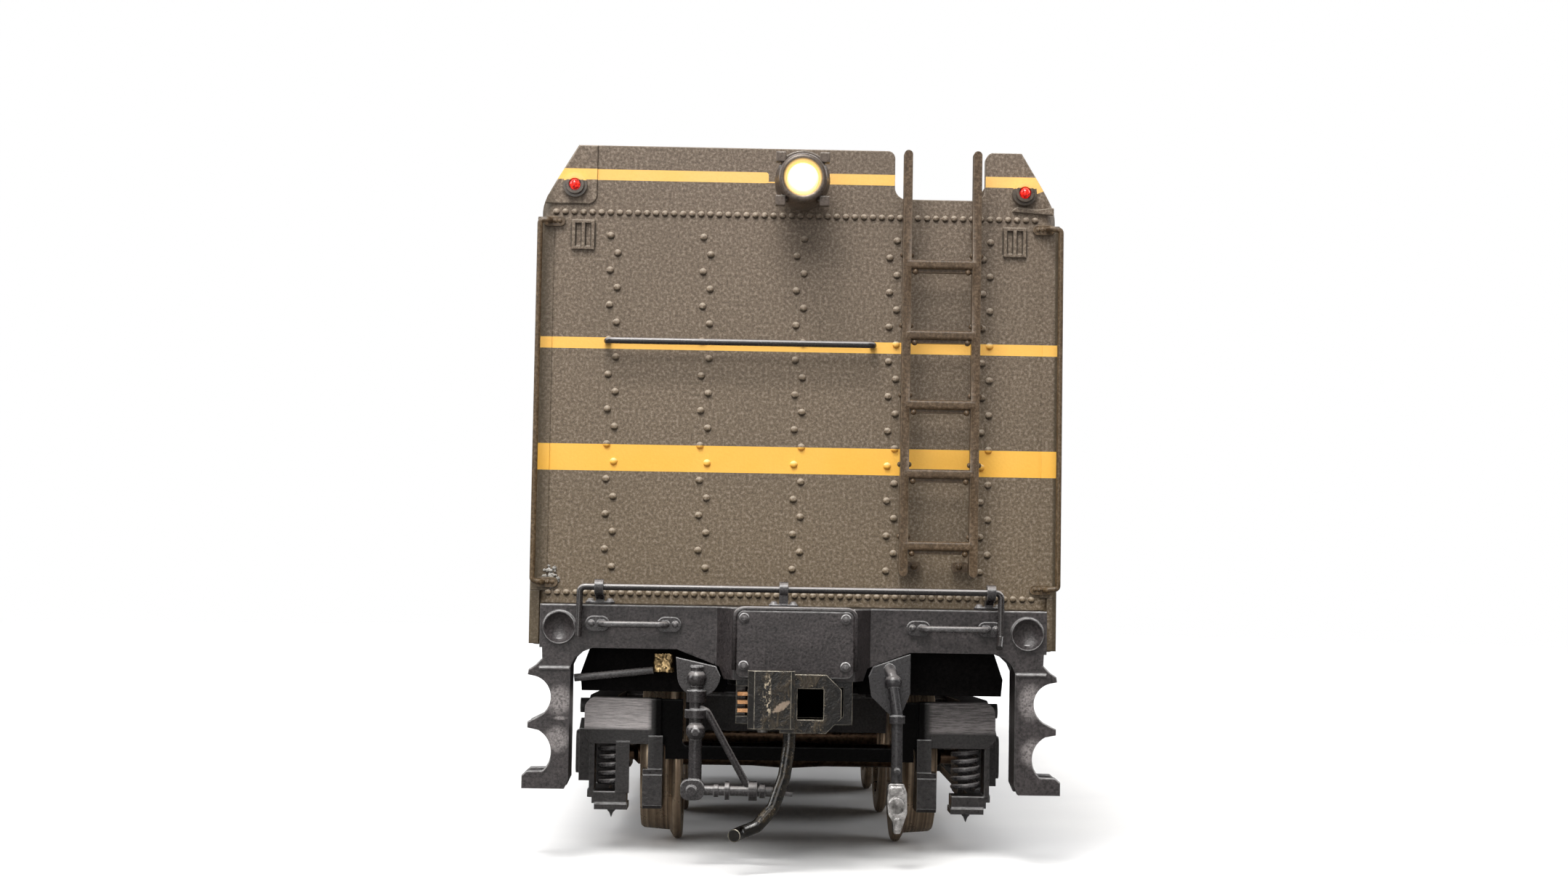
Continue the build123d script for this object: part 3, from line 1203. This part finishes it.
def truck_frame(truck_y):
    """Two cast sides with three pedestals each, and an end transom beyond each outer axle."""
    with BuildPart() as frame:
        for side in (-1, 1):
            with BuildSketch(at_x(side * FRAME_X)):
                with BuildLine():
                    Polyline(*[(truck_y + y, z) for y, z in SIDE_BAR], close=True)
                make_face()
            extrude(amount=side * FRAME_T)
            for offset in AXLES:
                axle_y = truck_y + offset
                # pedestal, then the journal box
                for x, outline, thickness in ((FRAME_X, PEDESTAL, FRAME_T),
                                              (13.6, JOURNAL_BOX, 0.85)):
                    with BuildSketch(at_x(side * x)):
                        with BuildLine():
                            Polyline(*[(axle_y + y, z) for y, z in outline], close=True)
                        make_face()
                    extrude(amount=side * thickness)
                # lid of the journal box
                with BuildSketch(at_x(side * 14.4)):
                    with Locations((axle_y, 5.3)):
                        RectangleRounded(2.3, 2.9, 0.5)
                extrude(amount=side * 0.3)
            with BuildSketch(at_x(side * 12.1)):
                for y0, y1, height in BOTTOM_TIES:
                    with Locations((truck_y + (y0 + y1) / 2, 3.05)):
                        Rectangle(y1 - y0, height)
            extrude(amount=side * 1.4)
            for end_dir in (-1, 1):
                # spring seat slung under the outer spring: base, foot plate and pointed bolt
                with BuildSketch(at_z(2.5)):
                    with Locations((side * 11.98, truck_y + end_dir * 23.9)):
                        Rectangle(2.3, 2.0)
                extrude(amount=0.8)
                with BuildSketch(at_z(2.12)):
                    with Locations((side * 11.85, truck_y + end_dir * 23.95)):
                        Rectangle(2.2, 2.3)
                extrude(amount=0.4)
                with BuildSketch(at_y(truck_y + end_dir * 24.2)):
                    with BuildLine():
                        Polyline(*[(side * x, z) for x, z in SEAT_BOLT], close=True)
                    make_face()
                extrude(amount=end_dir * 0.5)
                # outer wall of the spring pocket
                with BuildSketch(at_z(2.9)):
                    with Locations((side * 13.16, truck_y + end_dir * 23.9)):
                        Rectangle(0.34, 2.0)
                extrude(amount=3.7)
                if side == end_dir:
                    # upright box beyond the inner half of the spring, at two corners only
                    with BuildSketch(at_z(3.2)):
                        with Locations((side * 11.12, truck_y + end_dir * 24.82)):
                            Rectangle(0.9, 0.3)
                    extrude(amount=3.4)
                # round boss on the side frame near the end
                with BuildSketch(at_x(side * 13.5)):
                    with Locations((truck_y + end_dir * 21.0, 8.72)):
                        Circle(0.5)
                extrude(amount=side * 0.75)
                # gusset between the end block and the transom
                with BuildSketch(at_y(truck_y + end_dir * 24.5)):
                    with BuildLine():
                        Polyline(*[(side * x, z) for x, z in GUSSET], close=True)
                    make_face()
                extrude(amount=end_dir * 0.35)
                # block at the end of the side, rounded on top
                with BuildSketch(at_y(truck_y + end_dir * 24.95)):
                    with BuildLine():
                        Polyline((side * 8.6, 6.45), (side * 8.6, 9.45), (side * 12.9, 9.5))
                        ThreePointArc((side * 12.9, 9.5), (side * 13.5, 9.25),
                                      (side * 13.7, 8.7))
                        Polyline((side * 13.7, 8.7), (side * 13.7, 7.0), (side * 13.3, 6.45),
                                 (side * 8.6, 6.45))
                    make_face()
                extrude(amount=end_dir * 1.3)
                with BuildSketch(at_y(truck_y + end_dir * 24.5)):
                    with Locations((side * 7.95, 7.925)):
                        Rectangle(1.5, 2.95)
                extrude(amount=end_dir * 0.8)
                with BuildSketch(at_z(5.45)):
                    with Locations((side * 7.7, truck_y + end_dir * 24.15)):
                        Rectangle(0.9, 0.7)
                extrude(amount=1.2)
            # blind journal bores
            for offset in AXLES:
                with BuildSketch(at_x(side * 11.0)):
                    with Locations((truck_y + offset, WHEEL_R)):
                        Circle(JOURNAL_R + 0.06)
                extrude(amount=side * 2.4, mode=Mode.SUBTRACT)
        # end transoms
        for end_dir in (-1, 1):
            with BuildSketch(at_z(5.45)):
                with Locations((0, truck_y + end_dir * 24.15)):
                    Rectangle(16.6, 0.7)
            extrude(amount=0.9)
    return frame


def coil(x, y, z0, z1, radius, turns):
    """A coil spring standing upright."""
    rise = z1 - z0 - SPRING_WIRE
    with BuildPart() as spring:
        with BuildLine(Plane(origin=(x, y, z0 + SPRING_WIRE / 2))) as path:
            Helix(rise / turns, rise, radius)
        with BuildSketch(Plane(origin=path.line @ 0, z_dir=path.line % 0)):
            Circle(SPRING_WIRE / 2)
        sweep(is_frenet=True)
    return spring.part


def brake_shoes(truck_y):
    """Shoes against the wheel treads; the outer ones have heads and hanger plates."""
    with BuildPart() as shoes:
        for offset, away in ((-AXLE_GAP, -1), (0, -1), (AXLE_GAP, 1)):
            axle_y = truck_y + offset
            for side in (-1, 1):
                y_in, y_out = axle_y + away * 4.6, axle_y + away * 7.0
                with BuildSketch(at_x(side * SHOE_X)):
                    with BuildLine():
                        Polyline((y_in, 2.2), (y_out - away * 0.5, 2.2),
                                 (y_out - away * 0.3, 6.38), (y_in, 6.38), close=True)
                    make_face()
                    with Locations((axle_y, WHEEL_R)):
                        Circle(WHEEL_R + 0.22, mode=Mode.SUBTRACT)
                extrude(amount=side * SHOE_T)
                if offset != 0:
                    # head and hanger plate, then extra thickness on the head alone
                    for x, outline, thickness in ((SHOE_X, BRAKE_HEAD_HANGER, 0.97),
                                                  (9.3, BRAKE_HEAD, 0.45)):
                        with BuildSketch(at_x(side * x)):
                            with BuildLine():
                                Polyline(*[(axle_y + away * y, z) for y, z in outline],
                                         close=True)
                            make_face()
                        extrude(amount=side * thickness)
    return shoes


def wheelset_axle(y):
    """Axle tapering from a swollen middle, with a journal at each end."""
    # x, radius
    profile = ((0, 0), (0, AXLE_R + 0.15), (2.5, AXLE_R), (10.4, AXLE_R), (10.7, JOURNAL_R),
               (13.0, JOURNAL_R), (13.2, 0.2), (13.2, 0), (0, 0))
    with BuildPart() as axle:
        with BuildSketch(at_z(WHEEL_R)):
            with BuildLine():
                Polyline(*[(x, y + radius) for x, radius in profile])
            make_face()
        revolve(axis=Axis(origin=(0, y, WHEEL_R), direction=(1, 0, 0)))
        mirror(about=Plane.YZ)
    return axle


def wheelset_wheels(y):
    """Two dished wheels with flanges on their inner sides."""
    bore = AXLE_R + 0.02

    # x from the wheel's back, radius
    back = ((0, bore), (0, 1.9), (0.55, 2.2), (0.55, 4.1), (0, 4.35), (0, FLANGE_R - 0.25))
    flange = ((0, FLANGE_R - 0.25), (0.32, FLANGE_R), (0.62, FLANGE_R - 0.2))
    tread_and_face = ((0.62, FLANGE_R - 0.2), (0.85, WHEEL_R + 0.03),
                      (WHEEL_W - 0.2, WHEEL_R - 0.1), (WHEEL_W, WHEEL_R - 0.25),
                      (WHEEL_W, 4.35), (1.9, 4.1), (1.6, 2.3), (2.3, 1.8), (2.6, 1.7),
                      (2.6, bore), (0, bore))

    def placed(table):
        return [(BACK_TO_BACK / 2 + x, y + radius) for x, radius in table]

    with BuildPart() as wheels:
        with BuildSketch(at_z(WHEEL_R)):
            with BuildLine():
                Polyline(*placed(back))
                ThreePointArc(*placed(flange))
                Polyline(*placed(tread_and_face))
            make_face()
        revolve(axis=Axis(origin=(0, y, WHEEL_R), direction=(1, 0, 0)))
        mirror(about=Plane.YZ)
    return wheels


for end, centre_y, first_number in (("rear", -TRUCK_Y, 1), ("front", TRUCK_Y, 4)):
    save(truck_bolster(centre_y), f"truck_bolster_{end}")
    save(truck_frame(centre_y), f"truck_frame_{end}")
    save_joined(f"truck_springs_{end}",
                *[coil(side * x, centre_y + y, z0, z1, radius, turns)
                  for side in (-1, 1) for x, y, z0, z1, radius, turns in SPRINGS])
    save(brake_shoes(centre_y), f"brake_shoes_{end}")
    for number, offset in enumerate(AXLES, first_number):
        save(wheelset_axle(centre_y + offset), f"wheelset_axle_{number}")
        save(wheelset_wheels(centre_y + offset), f"wheelset_wheels_{number}")
